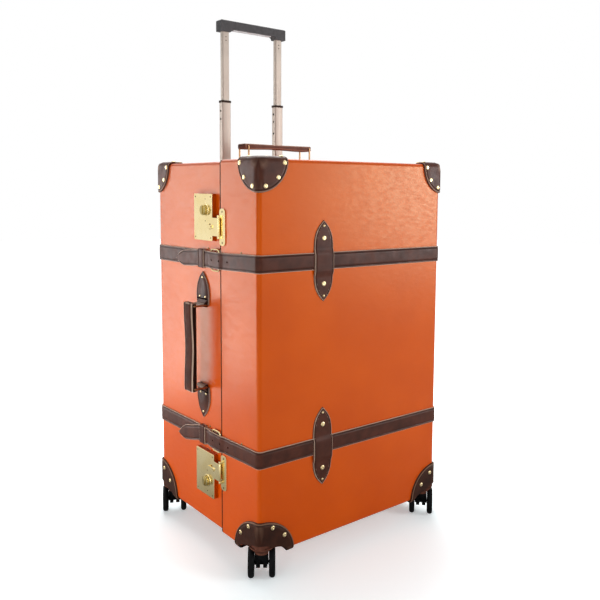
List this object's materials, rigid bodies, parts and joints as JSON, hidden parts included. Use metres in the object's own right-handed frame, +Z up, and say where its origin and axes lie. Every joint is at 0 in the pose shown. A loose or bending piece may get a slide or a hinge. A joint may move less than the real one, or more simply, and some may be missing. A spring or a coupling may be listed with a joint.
{
  "type": "wardrobe trunk",
  "caption": "Upright four-wheeled travel trunk that opens like a book, with leather corners and straps, brass locks, carrying handles and a telescopic handle.",
  "frame": {"origin": "on the floor, under the middle of the closed case's width and depth", "axes": "+Z up, -Y towards the lid's broad face, +X towards the lid's hinges, -X towards the locks"},
  "size_m": [0.5477, 0.4446, 1.146],
  "materials": {
    "fibreboard": "glossy orange lacquer over vulcanised fibreboard",
    "leather_brown": "polished dark brown harness leather",
    "brass": "polished brass",
    "steel_rivet": "pale brass dome heads",
    "trolley_aluminium": "champagne anodised aluminium",
    "grey_plastic": "fine grained dark grey plastic",
    "black_plastic": "satin black nylon",
    "tyre_black": "black polyurethane tread",
    "brown_plastic": "satin dark brown nylon",
    "rail_wood": "dark stained rail",
    "lining_cloth": "natural cotton lining"
  },
  "bodies": {
    "base": {"base_shell": "fibreboard", "base_rim": "rail_wood", "base_lining": "lining_cloth", "hinge_base_leaves": "brass", "base_top_corners": "leather_brown", "base_foot_corners": "leather_brown", "base_rivets": "steel_rivet", "base_strap_tabs": "leather_brown", "base_caster_housings": "brown_plastic", "base_strap_upper": "leather_brown", "base_strap_lower": "leather_brown", "strap_buckles": "brass", "keeper_loops": "leather_brown", "lock_pads": "fibreboard", "lock_plates": "brass", "lock_nails": "steel_rivet", "side_handle_chapes": "leather_brown", "top_handle_chapes": "leather_brown", "handle_rivets": "steel_rivet", "trolley_housing": "trolley_aluminium", "trolley_guides": "grey_plastic", "trolley_bezel": "grey_plastic"},
    "lid": {"lid_shell": "fibreboard", "lid_rim": "rail_wood", "lid_lining": "lining_cloth", "hinge_lid_leaves": "brass", "hinge_pins": "brass", "lid_top_corners": "leather_brown", "lid_foot_corners": "leather_brown", "lid_rivets": "steel_rivet", "lid_strap_tabs": "leather_brown", "lid_caster_housings": "brown_plastic", "lid_strap_upper": "leather_brown", "lid_strap_lower": "leather_brown", "hasp_plates": "brass", "hasp_nails": "steel_rivet"},
    "knob_upper": {"lock_knob_upper": "brass"},
    "hasp_upper": {"hasp_leaf_upper": "brass"},
    "knob_lower": {"lock_knob_lower": "brass"},
    "hasp_lower": {"hasp_leaf_lower": "brass"},
    "side_ring_a": {"side_handle_ring_a": "brass"},
    "side_ring_b": {"side_handle_ring_b": "brass"},
    "side_grip": {"side_handle_grip": "leather_brown"},
    "top_ring_a": {"top_handle_ring_a": "brass"},
    "top_ring_b": {"top_handle_ring_b": "brass"},
    "top_grip": {"top_handle_grip": "leather_brown"},
    "trolley_lower": {"trolley_lower_tubes": "trolley_aluminium", "trolley_collars": "grey_plastic"},
    "trolley_upper": {"trolley_upper_tubes": "trolley_aluminium", "trolley_grip": "grey_plastic"},
    "release": {"trolley_release_bar": "grey_plastic"},
    "caster_front_left": {"caster_front_left_fork": "black_plastic"},
    "wheels_front_left": {"caster_front_left_wheels": "tyre_black"},
    "caster_front_right": {"caster_front_right_fork": "black_plastic"},
    "wheels_front_right": {"caster_front_right_wheels": "tyre_black"},
    "caster_back_left": {"caster_back_left_fork": "black_plastic"},
    "wheels_back_left": {"caster_back_left_wheels": "tyre_black"},
    "caster_back_right": {"caster_back_right_fork": "black_plastic"},
    "wheels_back_right": {"caster_back_right_wheels": "tyre_black"}
  },
  "joints": [
    {"name": "lid_hinge", "type": "hinge", "parent": "base", "child": "lid", "pos_m": [0.248, -0.067, 0.432], "axis": [0, 0, 1], "range_deg": [0, 175], "deforming": ["lid_strap_upper", "lid_strap_lower"]},
    {"name": "lock_knob_upper_turn", "type": "hinge", "parent": "base", "child": "knob_upper", "pos_m": [-0.2513, -0.021, 0.7135], "axis": [-1, 0, 0], "range_deg": [0, 90]},
    {"name": "hasp_upper_hinge", "type": "hinge", "parent": "lid", "child": "hasp_upper", "pos_m": [-0.2498, -0.0711, 0.681], "axis": [0, 0, 1], "range_deg": [0, 110]},
    {"name": "lock_knob_lower_turn", "type": "hinge", "parent": "base", "child": "knob_lower", "pos_m": [-0.2513, -0.021, 0.1505], "axis": [-1, 0, 0], "range_deg": [-90, 0]},
    {"name": "hasp_lower_hinge", "type": "hinge", "parent": "lid", "child": "hasp_lower", "pos_m": [-0.2498, -0.0711, 0.183], "axis": [0, 0, 1], "range_deg": [0, 110]},
    {"name": "side_handle_swing", "type": "hinge", "parent": "base", "child": "side_ring_a", "pos_m": [-0.246, 0.0045, 0.518], "axis": [0, 1, 0], "range_deg": [-55, 55]},
    {"name": "side_handle_follow", "type": "hinge", "parent": "base", "child": "side_ring_b", "pos_m": [-0.246, 0.0045, 0.346], "axis": [0, 1, 0], "range_deg": [-55, 55]},
    {"name": "side_grip_pivot", "type": "hinge", "parent": "side_ring_a", "child": "side_grip", "pos_m": [-0.273, 0.0045, 0.518], "axis": [0, 1, 0], "range_deg": [-55, 55]},
    {"name": "top_handle_swing", "type": "hinge", "parent": "base", "child": "top_ring_a", "pos_m": [0.086, 0.089, 0.815], "axis": [0, 1, 0], "range_deg": [-55, 55]},
    {"name": "top_handle_follow", "type": "hinge", "parent": "base", "child": "top_ring_b", "pos_m": [-0.086, 0.089, 0.815], "axis": [0, 1, 0], "range_deg": [-55, 55]},
    {"name": "top_grip_pivot", "type": "hinge", "parent": "top_ring_a", "child": "top_grip", "pos_m": [0.086, 0.089, 0.851], "axis": [0, 1, 0], "range_deg": [-55, 55]},
    {"name": "trolley_lower_slide", "type": "slide", "parent": "base", "child": "trolley_lower", "axis": [0, 0, 1], "range_m": [-0.145, 0]},
    {"name": "trolley_upper_slide", "type": "slide", "parent": "trolley_lower", "child": "trolley_upper", "axis": [0, 0, 1], "range_m": [-0.15, 0]},
    {"name": "release_press", "type": "slide", "parent": "trolley_upper", "child": "release", "axis": [0, 0, 1], "range_m": [0, 0.003], "stiffness_N_per_m": 1500, "springref_m": -0.001},
    {"name": "caster_front_left_swivel", "type": "hinge", "parent": "lid", "child": "caster_front_left", "pos_m": [-0.2245, -0.1835, 0.051], "axis": [0, 0, 1], "continuous": true},
    {"name": "caster_front_left_roll", "type": "hinge", "parent": "caster_front_left", "child": "wheels_front_left", "pos_m": [-0.21991, -0.17695, 0.03], "axis": [0.8192, -0.5736, 0], "continuous": true},
    {"name": "caster_front_right_swivel", "type": "hinge", "parent": "lid", "child": "caster_front_right", "pos_m": [0.2245, -0.1835, 0.051], "axis": [0, 0, 1], "continuous": true},
    {"name": "caster_front_right_roll", "type": "hinge", "parent": "caster_front_right", "child": "wheels_front_right", "pos_m": [0.23035, -0.17804, 0.03], "axis": [0.682, -0.7314, 0], "continuous": true},
    {"name": "caster_back_left_swivel", "type": "hinge", "parent": "base", "child": "caster_back_left", "pos_m": [-0.221, 0.1835, 0.051], "axis": [0, 0, 1], "continuous": true},
    {"name": "caster_back_left_roll", "type": "hinge", "parent": "caster_back_left", "child": "wheels_back_left", "pos_m": [-0.21724, 0.19056, 0.03], "axis": [0.8829, -0.4695, 0], "continuous": true},
    {"name": "caster_back_right_swivel", "type": "hinge", "parent": "base", "child": "caster_back_right", "pos_m": [0.221, 0.1835, 0.051], "axis": [0, 0, 1], "continuous": true},
    {"name": "caster_back_right_roll", "type": "hinge", "parent": "caster_back_right", "child": "wheels_back_right", "pos_m": [0.22614, 0.18963, 0.03], "axis": [0.766, -0.6428, 0], "continuous": true}
  ],
  "couplings": [
    {"joint": "side_handle_follow", "follows": "side_handle_swing", "ratio": 1},
    {"joint": "side_grip_pivot", "follows": "side_handle_swing", "ratio": -1},
    {"joint": "top_handle_follow", "follows": "top_handle_swing", "ratio": 1},
    {"joint": "top_grip_pivot", "follows": "top_handle_swing", "ratio": -1}
  ]
}
